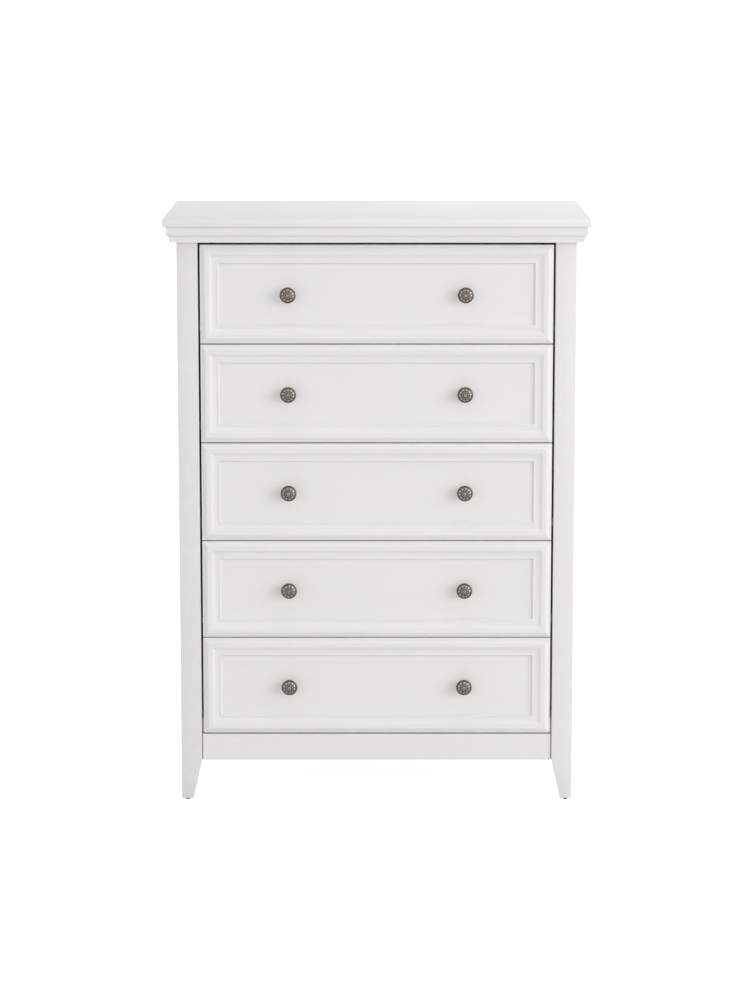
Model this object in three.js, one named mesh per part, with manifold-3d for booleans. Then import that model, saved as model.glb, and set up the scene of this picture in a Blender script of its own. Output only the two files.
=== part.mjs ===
// Tall chest with five inset drawers, a moulded crown and four tapered feet.
// Millimetres. +Z is up, -Y is the front and +X is the right-hand side seen from the front.
// The origin is on the floor, under the centre of the top.
import * as THREE from 'three';
import { mergeVertices } from 'three/addons/utils/BufferGeometryUtils.js';
import Module from 'manifold-3d';

const wasm = await Module();
wasm.setup();

// Overall size.
const WIDTH = 800;
const DEPTH = 400;
const HEIGHT = 1125;
const BACK = DEPTH / 2;

// Top slab.
const TOP_THICKNESS = 15;
const TOP_EASING = 1;
const TOP_UNDERSIDE = HEIGHT - TOP_THICKNESS;

// Posts, each carrying on down as a foot that tapers on its two inner faces.
const CARCASS_HALF_WIDTH = 375;
const CARCASS_FRONT = -175;
const POST_WIDTH = 39.5;
const POST_DEPTH = 40;
const FOOT_HEIGHT = 79.25;
const FOOT_END = 22.5;
const GLIDE_RADIUS = 4.5;
const GLIDE_HEIGHT = 4.5;

// Fixed boards between the posts.
const OPENING_HALF_WIDTH = CARCASS_HALF_WIDTH - POST_WIDTH;
const SIDE_PANEL_RECESS = 6;
const SIDE_PANEL_THICKNESS = 16;
const RAIL_THICKNESS = 20;
const APRON_THICKNESS = 16;
const APRON_SETBACK = 4;
const APRON_TOP = 131;
const APRON_JOINT_WIDTH = 1.5;
const APRON_JOINT_DEPTH = 6;
const BACK_PANEL_THICKNESS = 4;
const BACK_PANEL_FACE = 185;

// Crown moulding profile: how far it stands out from the posts, and its height above the floor.
const CROWN_BOTTOM = 1080.25;
const CROWN_PROFILE = [
  [0, CROWN_BOTTOM],
  [12.5, CROWN_BOTTOM],
  [13.5, 1091],
  [15.25, 1092],
  [17.25, 1094],
  [18.5, 1096.5],
  [19, 1099.5],
  [19, 1102.5],
  [18.75, 1106],
  [18, TOP_UNDERSIDE],
  [0, TOP_UNDERSIDE],
];

// Drawer fronts.
const DRAWER_COUNT = 5;
const FRONT_HALF_WIDTH = 331.5;
const FRONT_HEIGHT = 186.25;
const FRONT_GAP = 2.25;
const LOWEST_FRONT = 134.5;
const FRONT_RIM = -174.5;
const FRONT_THICKNESS = 20;
const FRONT_BACK = FRONT_RIM + FRONT_THICKNESS;
const PANEL_RECESS = 4;
const PANEL_FACE = FRONT_RIM + PANEL_RECESS;

// Moulding round a drawer front: distance in from the edge, and how far it stands out from the rim.
const FRONT_PROFILE = [
  [0, -1.5],
  [1.25, 0],
  [2.25, 0],
  [9.25, 4.75],
  [10.5, 5],
  [14.5, 4.75],
  [19.25, 3],
  [24.5, 0.5],
  [29.5, -0.25],
  [30.5, 0.5],
  [32.5, 0.5],
  [33.5, -0.5],
  [36, -PANEL_RECESS],
];

// Drawer boxes.
const SLIDE_GAP = 12.75;
const BOX_HALF_WIDTH = OPENING_HALF_WIDTH - SLIDE_GAP;
const BOX_BOARD = 12;
const BOX_LENGTH = 330;
const BOX_BACK = FRONT_BACK + BOX_LENGTH;
const BOX_LIFT = 20;
const BOX_HEIGHT = 140;
const BOTTOM_LIFT = BOX_LIFT + 12;
const BOTTOM_THICKNESS = 4;
const GROOVE_DEPTH = 6;
const GROOVE_CLEARANCE = 0.25;

// Steel channels that carry the drawers, one on each side of each drawer.
const SLIDE_LENGTH = 330;
const SLIDE_START = FRONT_BACK + 3;
const SLIDE_LIFT = 22;
const SLIDE_HEIGHT = 18;
const SLIDE_DEPTH = 11;
const SLIDE_SHEET = 1.25;

// Knobs: radius and distance out from the drawer's panel.
const KNOB_SPACING = 333;
const KNOB_SEGMENTS = 20;
const KNOB_PROFILE = [
  [0, 0],
  [7.5, 0],
  [7.25, 1.75],
  [5, 3.5],
  [4.75, 9],
  [6.5, 12.5],
  [12, 15.75],
  [14.75, 17.5],
  [15, 19.25],
  [14, 21],
  [11, 23.25],
  [6, 25.5],
  [0, 26.5],
];

const paint = { color: 0xe9e6e0, roughness: 0.45, metalness: 0 };
const boxWood = { color: 0xd8bf97, roughness: 0.6, metalness: 0 };
const hardboard = { color: 0xb08d62, roughness: 0.7, metalness: 0 };
const steel = { color: 0xb9bcbe, roughness: 0.35, metalness: 1 };
const pewter = { color: 0x7c756f, roughness: 0.42, metalness: 1 };

// One named sub-part, with a material of its own.
function part(group, name, geometry, finish, position = [0, 0, 0]) {
  const mesh = new THREE.Mesh(geometry, new THREE.MeshStandardMaterial(finish));
  mesh.name = name;
  mesh.position.set(...position);
  group.add(mesh);
  return mesh;
}

// A plain rectangular board between two corners.
function board(group, name, finish, low, high) {
  const size = high.map((value, axis) => value - low[axis]);
  const centre = high.map((value, axis) => (value + low[axis]) / 2);
  return part(group, name, new THREE.BoxGeometry(...size), finish, centre);
}

// A solid along Z whose cross-sections are the given rectangles, in order.
function loft(sections) {
  const steps = sections.length - 1;
  const geometry = new THREE.BoxGeometry(2, 2, steps, 1, 1, steps);
  const position = geometry.attributes.position;
  for (let i = 0; i < position.count; i += 1) {
    const section = sections[Math.round(position.getZ(i) + steps / 2)];
    const x = position.getX(i) < 0 ? section.x[0] : section.x[1];
    const y = position.getY(i) < 0 ? section.y[0] : section.y[1];
    position.setXYZ(i, x, y, section.z);
  }
  geometry.computeVertexNormals();
  return geometry;
}

// A closed outline, given as points, extruded along Z.
function prism(outline, depth) {
  const shape = new THREE.Shape(outline.map(([x, y]) => new THREE.Vector2(x, y)));
  return new THREE.ExtrudeGeometry(shape, { depth, bevelEnabled: false });
}

// A plain box between two corners, as geometry.
function block(low, high) {
  const size = high.map((value, axis) => value - low[axis]);
  const geometry = new THREE.BoxGeometry(...size);
  return geometry.translate(...high.map((value, axis) => (value + low[axis]) / 2));
}

function toSolid(geometry) {
  const bare = geometry.clone();
  bare.deleteAttribute('normal');
  bare.deleteAttribute('uv');
  const merged = mergeVertices(bare, 1e-4);
  return new wasm.Manifold(
    new wasm.Mesh({
      numProp: 3,
      vertProperties: new Float32Array(merged.attributes.position.array),
      triVerts: new Uint32Array(merged.index.array),
    }),
  );
}

function toGeometry(solid) {
  const mesh = solid.getMesh();
  const geometry = new THREE.BufferGeometry();
  geometry.setAttribute('position', new THREE.BufferAttribute(new Float32Array(mesh.vertProperties), 3));
  geometry.setIndex(new THREE.BufferAttribute(new Uint32Array(mesh.triVerts), 1));
  geometry.computeVertexNormals();
  return geometry;
}

// The top slab, with eased upper and lower edges.
function topSlab() {
  const section = (inset, z) => ({
    x: [inset - WIDTH / 2, WIDTH / 2 - inset],
    y: [inset - DEPTH / 2, DEPTH / 2 - inset],
    z,
  });
  return loft([
    section(TOP_EASING, TOP_UNDERSIDE),
    section(0, TOP_UNDERSIDE + TOP_EASING),
    section(0, HEIGHT - TOP_EASING),
    section(TOP_EASING, HEIGHT),
  ]);
}

// One post with its foot and the round glide under it. right and rear are +1 or -1.
function post(right, rear) {
  const outerX = right * CARCASS_HALF_WIDTH;
  const outerY = rear > 0 ? BACK : CARCASS_FRONT;
  const span = (outer, inward, size) => [outer, outer + inward * size].sort((a, b) => a - b);
  const section = (width, depth, z) => ({
    x: span(outerX, -right, width),
    y: span(outerY, -rear, depth),
    z,
  });
  const timber = loft([
    section(FOOT_END, FOOT_END, GLIDE_HEIGHT),
    section(POST_WIDTH, POST_DEPTH, FOOT_HEIGHT),
    section(POST_WIDTH, POST_DEPTH, TOP_UNDERSIDE),
  ]);
  const glide = new THREE.CylinderGeometry(GLIDE_RADIUS, GLIDE_RADIUS, GLIDE_HEIGHT + 1, 16);
  glide.rotateX(Math.PI / 2);
  glide.translate(
    outerX - (right * FOOT_END) / 2,
    outerY - (rear * FOOT_END) / 2,
    (GLIDE_HEIGHT + 1) / 2,
  );
  return toGeometry(toSolid(timber).add(toSolid(glide)));
}

// A run of crown moulding along X, mitred at the ends that meet another run.
function crown(start, end, startMitre, endMitre) {
  const geometry = prism(CROWN_PROFILE, 1);
  const position = geometry.attributes.position;
  for (let i = 0; i < position.count; i += 1) {
    const out = position.getX(i);
    const z = position.getY(i);
    const atStart = position.getZ(i) > 0.5;
    const along = atStart ? start - (startMitre ? out : 0) : end + (endMitre ? out : 0);
    position.setXYZ(i, along, -out, z);
  }
  geometry.computeVertexNormals();
  return geometry;
}

// The apron: a board with a narrow open joint cut beside each post.
function apron() {
  const back = CARCASS_FRONT + APRON_SETBACK + APRON_THICKNESS;
  const front = CARCASS_FRONT + APRON_SETBACK;
  const joint = front + APRON_JOINT_DEPTH;
  const outer = OPENING_HALF_WIDTH;
  const inner = outer - APRON_JOINT_WIDTH;
  const outline = [
    [-outer, back],
    [-outer, joint],
    [-inner, joint],
    [-inner, front],
    [inner, front],
    [inner, joint],
    [outer, joint],
    [outer, back],
  ];
  return prism(outline, APRON_TOP - FOOT_HEIGHT);
}

// A drawer front. It is lofted face up, then stood upright with its lower edge at z = 0.
function drawerFront() {
  const section = (inset, z) => ({
    x: [inset - FRONT_HALF_WIDTH, FRONT_HALF_WIDTH - inset],
    y: [inset, FRONT_HEIGHT - inset],
    z,
  });
  const rings = FRONT_PROFILE.map(([inset, out]) => section(inset, out - FRONT_RIM));
  const face = loft([section(0, -FRONT_BACK), ...rings]);
  face.applyMatrix4(new THREE.Matrix4().set(1, 0, 0, 0, 0, 0, -1, 0, 0, 1, 0, 0, 0, 0, 0, 1));
  const groove = block(
    [-BOX_HALF_WIDTH + BOX_BOARD - GROOVE_DEPTH, FRONT_BACK - GROOVE_DEPTH, BOTTOM_LIFT],
    [BOX_HALF_WIDTH - BOX_BOARD + GROOVE_DEPTH, FRONT_BACK + 1, BOTTOM_LIFT + BOTTOM_THICKNESS + GROOVE_CLEARANCE],
  );
  return toGeometry(toSolid(face).subtract(toSolid(groove)));
}

// A drawer side, with the groove that holds the bottom. right is +1 or -1.
function drawerSide(right) {
  const outer = right * BOX_HALF_WIDTH;
  const inner = outer - right * BOX_BOARD;
  const deep = inner + right * GROOVE_DEPTH;
  const grooveTop = BOTTOM_LIFT + BOTTOM_THICKNESS + GROOVE_CLEARANCE;
  const top = BOX_LIFT + BOX_HEIGHT;
  const outline = [
    [outer, BOX_LIFT],
    [inner, BOX_LIFT],
    [inner, BOTTOM_LIFT],
    [deep, BOTTOM_LIFT],
    [deep, grooveTop],
    [inner, grooveTop],
    [inner, top],
    [outer, top],
  ];
  return alongY(outline, FRONT_BACK, BOX_BACK);
}

// An outline in X and Z carried along Y from one place to another.
function alongY(outline, from, to) {
  const geometry = prism(outline, to - from);
  return geometry.applyMatrix4(new THREE.Matrix4().set(1, 0, 0, 0, 0, 0, -1, to, 0, 1, 0, 0, 0, 0, 0, 1));
}

// The cabinet's half of a drawer slide: a C-shaped steel channel open towards the drawer.
function slideChannel(right) {
  const web = right * OPENING_HALF_WIDTH;
  const inside = web - right * SLIDE_SHEET;
  const lip = web - right * SLIDE_DEPTH;
  const top = SLIDE_LIFT + SLIDE_HEIGHT;
  const outline = [
    [web, SLIDE_LIFT],
    [lip, SLIDE_LIFT],
    [lip, SLIDE_LIFT + SLIDE_SHEET],
    [inside, SLIDE_LIFT + SLIDE_SHEET],
    [inside, top - SLIDE_SHEET],
    [lip, top - SLIDE_SHEET],
    [lip, top],
    [web, top],
  ];
  return alongY(outline, SLIDE_START, SLIDE_START + SLIDE_LENGTH);
}

// A round knob on its stem, turned about Z and then pointed out of the front.
function knob() {
  const profile = KNOB_PROFILE.map(([radius, out]) => new THREE.Vector2(radius, out));
  const geometry = new THREE.LatheGeometry(profile, KNOB_SEGMENTS);
  return geometry.applyMatrix4(new THREE.Matrix4().set(-1, 0, 0, 0, 0, -1, 0, 0, 0, 0, 1, 0, 0, 0, 0, 1));
}

function buildCarcass() {
  const carcass = new THREE.Group();
  const panelOuter = CARCASS_HALF_WIDTH - SIDE_PANEL_RECESS;
  const panelInner = panelOuter - SIDE_PANEL_THICKNESS;
  part(carcass, 'top_panel', topSlab(), paint);
  part(carcass, 'crown_moulding_front', crown(-CARCASS_HALF_WIDTH, CARCASS_HALF_WIDTH, true, true), paint, [
    0,
    CARCASS_FRONT,
    0,
  ]);
  const rightCrown = part(carcass, 'crown_moulding_right', crown(CARCASS_FRONT, BACK, true, false), paint);
  rightCrown.position.x = CARCASS_HALF_WIDTH;
  rightCrown.rotation.z = Math.PI / 2;
  const leftCrown = part(carcass, 'crown_moulding_left', crown(-BACK, -CARCASS_FRONT, false, true), paint);
  leftCrown.position.x = -CARCASS_HALF_WIDTH;
  leftCrown.rotation.z = -Math.PI / 2;
  for (const [side, right] of [['left', -1], ['right', 1]]) {
    const panelX = [right * panelInner, right * panelOuter].sort((a, b) => a - b);
    part(carcass, `front_post_${side}`, post(right, -1), paint);
    part(carcass, `rear_post_${side}`, post(right, 1), paint);
    board(
      carcass,
      `side_panel_${side}`,
      paint,
      [panelX[0], CARCASS_FRONT + POST_DEPTH, FOOT_HEIGHT],
      [panelX[1], BACK - POST_DEPTH, TOP_UNDERSIDE],
    );
  }
  part(carcass, 'front_apron', apron(), paint, [0, 0, FOOT_HEIGHT]);
  board(
    carcass,
    'front_top_rail',
    paint,
    [-OPENING_HALF_WIDTH, CARCASS_FRONT, CROWN_BOTTOM],
    [OPENING_HALF_WIDTH, CARCASS_FRONT + RAIL_THICKNESS, TOP_UNDERSIDE],
  );
  board(
    carcass,
    'rear_top_rail',
    paint,
    [-OPENING_HALF_WIDTH, BACK_PANEL_FACE - RAIL_THICKNESS, CROWN_BOTTOM],
    [OPENING_HALF_WIDTH, BACK_PANEL_FACE, TOP_UNDERSIDE],
  );
  board(
    carcass,
    'rear_bottom_rail',
    paint,
    [-OPENING_HALF_WIDTH, BACK_PANEL_FACE - RAIL_THICKNESS, FOOT_HEIGHT],
    [OPENING_HALF_WIDTH, BACK_PANEL_FACE, APRON_TOP],
  );
  board(
    carcass,
    'back_panel',
    hardboard,
    [-OPENING_HALF_WIDTH, BACK_PANEL_FACE, FOOT_HEIGHT],
    [OPENING_HALF_WIDTH, BACK_PANEL_FACE + BACK_PANEL_THICKNESS, TOP_UNDERSIDE],
  );
  return carcass;
}

function buildDrawer(label) {
  const drawer = new THREE.Group();
  const inner = BOX_HALF_WIDTH - BOX_BOARD;
  const bottomTop = BOTTOM_LIFT + BOTTOM_THICKNESS;
  const tongue = GROOVE_DEPTH - GROOVE_CLEARANCE;
  part(drawer, `${label}_front`, drawerFront(), paint);
  part(drawer, `${label}_side_left`, drawerSide(-1), boxWood);
  part(drawer, `${label}_side_right`, drawerSide(1), boxWood);
  board(
    drawer,
    `${label}_back`,
    boxWood,
    [-inner, BOX_BACK - BOX_BOARD, bottomTop],
    [inner, BOX_BACK, BOX_LIFT + BOX_HEIGHT],
  );
  board(
    drawer,
    `${label}_bottom`,
    hardboard,
    [-inner - tongue, FRONT_BACK - tongue, BOTTOM_LIFT],
    [inner + tongue, BOX_BACK, bottomTop],
  );
  for (const [side, right] of [['left', -1], ['right', 1]]) {
    part(drawer, `${label}_knob_${side}`, knob(), pewter, [
      (right * KNOB_SPACING) / 2,
      PANEL_FACE,
      FRONT_HEIGHT / 2,
    ]);
  }
  return drawer;
}

const chest = new THREE.Group();
chest.add(buildCarcass());
for (let number = 1; number <= DRAWER_COUNT; number += 1) {
  const height = LOWEST_FRONT + (DRAWER_COUNT - number) * (FRONT_HEIGHT + FRONT_GAP);
  const drawer = buildDrawer(`drawer_${number}`);
  drawer.position.z = height;
  chest.add(drawer);
  part(chest, `slide_channel_${number}_left`, slideChannel(-1), steel, [0, 0, height]);
  part(chest, `slide_channel_${number}_right`, slideChannel(1), steel, [0, 0, height]);
}

export default chest;
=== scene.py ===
import math
import random

import bmesh
import bpy
from mathutils import Matrix, Vector


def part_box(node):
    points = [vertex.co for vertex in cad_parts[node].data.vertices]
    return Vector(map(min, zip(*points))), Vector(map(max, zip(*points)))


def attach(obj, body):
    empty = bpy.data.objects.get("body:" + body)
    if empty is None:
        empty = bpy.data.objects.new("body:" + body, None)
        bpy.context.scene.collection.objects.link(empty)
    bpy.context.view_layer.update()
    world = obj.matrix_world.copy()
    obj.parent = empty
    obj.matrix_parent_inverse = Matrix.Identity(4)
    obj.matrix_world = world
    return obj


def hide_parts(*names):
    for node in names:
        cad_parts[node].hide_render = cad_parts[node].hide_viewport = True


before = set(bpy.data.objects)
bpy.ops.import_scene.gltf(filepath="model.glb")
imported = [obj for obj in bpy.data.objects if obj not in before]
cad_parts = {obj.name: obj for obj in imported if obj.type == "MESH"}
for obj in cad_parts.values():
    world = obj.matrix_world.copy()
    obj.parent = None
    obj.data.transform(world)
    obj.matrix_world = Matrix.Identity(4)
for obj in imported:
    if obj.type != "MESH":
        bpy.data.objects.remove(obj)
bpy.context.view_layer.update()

MM = 0.001
DRAWERS = (1, 2, 3, 4, 5)
SIDES = (("left", -1.0), ("right", 1.0))

# Edge roundings, how many strips each has, and the angle between faces that makes an edge sharp.
SLAB_ROUND = 2.0 * MM
POST_ROUND = 0.9 * MM
BOARD_ROUND = 0.9 * MM
BOX_ROUND = 0.7 * MM
APRON_ROUND = 0.6 * MM
SHEET_ROUND = 0.25 * MM
ROUND_STRIPS = 3
FINE_STRIPS = 2
SHARP_ANGLE = math.radians(40.0)

# Angles up to which faces are shaded as one surface, in degrees.
SMOOTH_MOST = 32.0
SMOOTH_APRON = 9.0
SMOOTH_FRONT = 28.0
SMOOTH_KNOB = 50.0

# Crown moulding, millimetres out from the posts and up from its foot: a sloped fillet, then a torus that
# is round below its widest point and flatter above it. Painted shade darkens the paint where they meet, at a
# range of the outline's points counted from the fillet's last.
CROWN_FILLET = ((12.3, 0.0), (12.6, 0.35), (13.5, 10.4), (13.5, 10.9), (15.0, 11.2))
TORUS_CENTRE = (9.0, 19.75)
TORUS_OUT = 10.0
TORUS_BELOW = 10.9
TORUS_ABOVE = 21.6
TORUS_START = -52.0
TORUS_END = 26.0
TORUS_STEPS = 12
TORUS_QUIRK = 1.2
CROWN_CREASE_SHADE = 0.15
CROWN_CREASE_SHADE_POINTS = (-1, 3)

# Feet with their glides (millimetres: radius and height), and the apron's open joints and chamfer.
FOOT_END = 22.5 * MM
GLIDE_HEIGHT = 4.5 * MM
GLIDE_RINGS = (
    (0.0, 0.0), (3.1, 0.0), (3.9, 0.3), (4.4, 1.0), (4.5, 1.9), (4.5, 4.3), (3.9, 4.8), (0.0, 4.8),
)
GLIDE_AROUND = 32
APRON_JOINT_WIDTH = 1.5 * MM
APRON_JOINT_DEPTH = 6.0 * MM
APRON_CHAMFER_UP = 8.0 * MM
APRON_CHAMFER_IN = 0.45 * MM

# Drawer front moulding, millimetres in from the edge and out from the rim, and each part's number of
# steps. A CURVE is the power that shapes a part, and an ARC is two angles in degrees. A CREASE is how far
# painted shade reaches beside a line, in millimetres, and how dark it is. Each loop round a front has four
# corners.
LOOP_POINTS = 4
EDGE_RADIUS = 1.0
EDGE_STEPS = 4
RIM_END = 2.2
SLOPE_END = 9.4
SLOPE_BULGE = 0.12
SLOPE_STEPS = 7
CREST_START = 9.8
CREST_MIDDLE = 11.2
CREST_WORN = 2.2
CREST_OUT = 5.0
CREST_LOW = 4.65
CREST_END = 13.1
CREST_STEPS = 7
GROOVE_IN = 13.6
GROOVE_OUT = 4.45
SHOULDER_START = 14.6
SHOULDER_OUT = 4.6
SHOULDER_CURVE = 2.0
SHOULDER_STEPS = 5
COVE_START = 19.25
COVE_TOP = 3.2
COVE_END = 30.8
COVE_FLOOR = -0.3
COVE_CURVE = 2.05
COVE_STEPS = 12
BEAD_START = 31.3
BEAD_END = 34.2
BEAD_OUT = 0.5
BEAD_ARC = (172.0, 20.0)
BEAD_STEPS = 8
RISER_END = 37.2
RISER_CURVE = 3.0
RISER_STEPS = 8
RISER_CREASE_SHADE = (2.0, 0.12)
LINE_CREASE_SHADE = (0.4, 0.2)
PANEL_DROP = 4.0
PANEL_SKIN = 1.6

# Knobs, millimetres: the domed face, the stem's outline, the mesh, then the relief from the middle
# outwards. The mesh's rings start KNOB_FIRST in from the edge, stand KNOB_STEP apart and end at least
# KNOB_CENTRE from the middle. "bright" is how far the metal is rubbed bright, from 0 to 1. KNOB_GROOVE is
# the lift and brightness between the raised parts.
KNOB_RADIUS = 15.0
KNOB_CROWN = 25.6
KNOB_FALL = 5.2
KNOB_BEND = 2.2
KNOB_STEM = (
    (0.0, 0.0), (7.3, 0.0), (7.5, 0.25), (7.5, 1.2), (7.0, 1.8), (5.6, 2.6), (5.0, 3.6), (4.7, 5.5),
    (4.7, 9.0), (5.2, 11.2), (6.6, 13.0), (9.0, 14.6), (11.8, 16.0), (13.8, 17.3), (14.7, 18.5),
    (15.0, 19.4),
)
STEM_BRIGHT = 0.6
KNOB_STEP = 0.28
KNOB_FIRST = 0.15
KNOB_CENTRE = 0.2
KNOB_AROUND = 144
KNOB_PIT = {"end": 0.8, "lift": -0.05, "bright": 0.05}
KNOB_BOSS = {"end": 3.2, "lift": 0.9, "bright": 0.86, "power": 0.5}
KNOB_LOBES = (
    {"start": 4.4, "end": 7.6, "count": 8, "phase": 0.0, "lift": 0.5, "bright": 0.74, "power": 0.75},
    {"start": 8.2, "end": 12.2, "count": 10, "phase": 0.5, "lift": 0.7, "bright": 0.98, "power": 0.65},
)
KNOB_RIM = {"start": 12.7, "width": 2.6, "lift": 0.45, "bright": 0.14, "arch": 0.75}
KNOB_GROOVE = (-0.25, 0.02)

# Screws and pins, millimetres: radius and distance along the axis, and how many points go round.
KNOB_SCREW = (
    (0.0, -0.5), (5.0, -0.5), (5.0, 0.35), (4.6, 0.95), (3.3, 1.6), (1.7, 1.95), (1.5, 1.2), (0.0, 1.2),
)
KNOB_SCREW_AROUND = 28
RUNNER_SCREW = (
    (0.0, -0.3), (2.9, -0.3), (2.9, 0.2), (2.0, 0.6), (0.9, 0.7), (0.8, 0.4), (0.0, 0.4),
)
RUNNER_SCREW_AROUND = 18
BACK_PIN = ((0.0, -0.4), (1.9, -0.4), (1.9, 0.15), (1.3, 0.55), (0.0, 0.7))
BACK_PIN_AROUND = 14
BACK_PIN_INSET = 10.0 * MM
BACK_PIN_PITCH = 128.0 * MM

# Drawer boxes and slides. A roller's "out" is measured from the runner's face or the channel's lip, "in"
# from the end of the slide and "up" from its foot. Its dish's floor and rim are shares of its radius.
GROOVE_DEPTH = 6.0 * MM
GROOVE_CLEARANCE = 0.25 * MM
CHANNEL_SHEET = 1.25 * MM
RUNNER_SHEET = 1.2 * MM
RUNNER_LIP = 9.0 * MM
RUNNER_RISE = 13.0 * MM
RUNNER_SHELF = 8.6 * MM
RUNNER_START = 1.5 * MM
RUNNER_SCREW_UP = 6.5 * MM
RUNNER_SCREW_INSETS = (30.0 * MM, 45.0 * MM)
DRAWER_ROLLER = {
    "radius": 7.0 * MM, "width": 7.4 * MM, "out": 1.2 * MM, "in": 12.0 * MM, "up": 11.0 * MM,
}
CABINET_ROLLER = {
    "radius": 5.9 * MM, "width": 8.2 * MM, "out": 0.9 * MM, "in": 8.5 * MM, "up": 5.0 * MM,
}
ROLLER_SHOULDER = 0.8 * MM
ROLLER_DISH = 0.6 * MM
ROLLER_DISH_FLOOR = 0.35
ROLLER_DISH_RIM = 0.42
ROLLER_AROUND = 40

# Colours. The side shades are painted shade: they multiply the paint of the posts and the side panel on that
# side.
PAINT_WARM = (0.800, 0.792, 0.778)
PAINT_COOL = (0.790, 0.784, 0.774)
PAINT_GRAIN = (0.62, 0.61, 0.59)
PAINT_RUBBED = (0.86, 0.85, 0.825)
# The next colour is painted shade, put into creases and beside lines of the paint.
PAINT_CREASE_SHADE = (0.60, 0.585, 0.56)
LEFT_PAINTED_SHADE = 0.93
RIGHT_PAINTED_SHADE = 0.968
WOOD_PALE = (0.70, 0.54, 0.345)
WOOD_LATE = (0.50, 0.325, 0.165)
WOOD_FIBRE = (0.50, 0.335, 0.18)
WOOD_STREAK = (0.42, 0.26, 0.13)
BOARD_DARK = (0.24, 0.125, 0.055)
BOARD_LIGHT = (0.31, 0.175, 0.08)
BOARD_FLECK = (0.42, 0.26, 0.13)
BOARD_STRAND = (0.15, 0.075, 0.035)
STEEL_DARK = (0.42, 0.43, 0.44)
STEEL_LIGHT = (0.56, 0.57, 0.58)
STEEL_BRIGHT = (0.72, 0.73, 0.74)
PEWTER_PATINA = (0.150, 0.130, 0.112)
PEWTER_BODY = (0.45, 0.41, 0.375)
PEWTER_BRIGHT = (0.74, 0.69, 0.63)
NYLON_LIGHT = (0.80, 0.79, 0.75)
NYLON_DARK = (0.72, 0.71, 0.67)
GLIDE_LIGHT = (0.030, 0.028, 0.027)
GLIDE_DARK = (0.016, 0.015, 0.015)
FLOOR_LIGHT = (0.76, 0.76, 0.76)
FLOOR_DARK = (0.74, 0.74, 0.74)
WHITE = (1.0, 1.0, 1.0, 1.0)

# Each piece's seed shifts its textures along SEED_SPREAD. Its wood's pith runs beside it at PITH_ACROSS.
SEED_MOST = 40.0
SEED_SPREAD = (0.73, 1.31, 0.57)
PITH_ACROSS = (0.035, 0.08)
PITH_ALONG = (-0.05, 0.05)

# Camera, in front of the posts, and the studio's light.
CAMERA_DISTANCE = 5.2
CAMERA_HEIGHT = 1.622
CAMERA_PITCH = 8.57
CAMERA_LENS = 100.6
CAMERA_SENSOR = 36.0
CAMERA_SHIFT = (-0.0017, -0.13)
CAMERA_REACH = 800.0
FLOOR_REACH = 200.0
FLOOR_TILES = 8
FLOOR_GLOW = 0.84
LIGHTS = {
    "key": {"at": (3.6, -3.0, 1.75), "to": (0.0, -0.1, 0.62), "size": (3.0, 2.4), "power": 52.0,
            "colour": (1.0, 0.995, 0.985)},
    "fill": {"at": (-3.6, -3.2, 1.1), "to": (0.0, -0.1, 0.6), "size": (2.6, 2.6), "power": 4.0,
             "colour": (0.985, 0.99, 1.0)},
    "top": {"at": (0.4, -0.5, 3.85), "to": (0.0, -0.1, 0.6), "size": (2.6, 2.0), "power": 18.8,
            "colour": (1.0, 1.0, 1.0)},
}
WORLD_HORIZON = 1.87
WORLD_ZENITH = 0.54
WORLD_SHOULDER = 0.6
WORLD_SIDE = 0.25
WORLD_SEEN = 1.05

# Each material's textures by title. A noise is scale, detail, roughness and distortion. A ramp is the two
# ends that a value runs between, then what it becomes at them. A bump is strength and distance. A share is
# what a value is multiplied by. A stretch scales the texture along the grain.
MIDDLE = (0.3, 0.7)
NOISE_SOCKETS = ("Scale", "Detail", "Roughness", "Distortion")
RAMP_SOCKETS = ("From Min", "From Max", "To Min", "To Max")
BUMP_SOCKETS = ("Strength", "Distance")
PAINT_IOR = 1.48
PAINT_STRETCH = 0.06
PAINT_LOOK = {
    "noise": {
        "clouds": (5.0, 3.0, 0.55), "fibres": (210.0, 3.0, 0.6, 0.4), "brush": (620.0, 2.0, 0.5),
        "stipple": (1500.0, 1.0, 0.5), "patches": (34.0, 4.0, 0.6),
    },
    "ramp": {
        "clouds": MIDDLE, "fibres": (0.35, 0.75, 0.0, 0.05), "patches": (0.5, 0.72),
        # The ramp for the creases sets how dark the painted shade in them is.
        "shade_in_creases": (0.2, 0.8, 0.25, 0.5), "gloss": (*MIDDLE, 0.40, 0.47),
    },
    "bump": {"fibres": (0.14, 0.12 * MM), "brush": (0.10, 0.05 * MM), "stipple": (0.08, 0.03 * MM)},
    "share": {"rubbed": 0.22, "duller": 0.12},
}
WOOD_STRETCH = {"rings": 0.045, "fibres": 0.02, "depth": 0.2}
WOOD_RINGS = {
    "Scale": 58.0, "Distortion": 7.0, "Detail": 2.0, "Detail Scale": 0.16, "Detail Roughness": 0.45,
}
WOOD_LATE_POWER = 2.6
WOOD_LOOK = {
    "noise": {"fibres": (900.0, 4.0, 0.65), "streaks": (110.0, 3.0, 0.6), "depth": (26.0, 3.0, 0.5)},
    "ramp": {
        "depth": (*MIDDLE, 0.30, 0.85), "fibres": (0.42, 0.78, 0.0, 0.34),
        "streaks": (0.60, 0.82, 0.0, 0.40), "gloss": (*MIDDLE, 0.46, 0.62),
    },
    "bump": {"rings": (0.05, 0.06 * MM), "fibres": (0.22, 0.08 * MM)},
    "share": {"rubbed": 0.25},
}
BOARD_STRETCH = (1.0, 1.0, 0.35)
BOARD_LOOK = {
    "noise": {
        "clouds": (9.0, 4.0, 0.6), "flecks": (700.0, 4.0, 0.7, 1.2), "strands": (260.0, 3.0, 0.6, 2.0),
    },
    "ramp": {
        "clouds": MIDDLE, "flecks": (0.5, 0.72, 0.0, 0.55), "strands": (0.6, 0.8, 0.0, 0.35),
        "gloss": (*MIDDLE, 0.42, 0.6),
    },
    "bump": {"flecks": (0.2, 0.08 * MM)},
}
STEEL_STRETCH = 0.02
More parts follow.
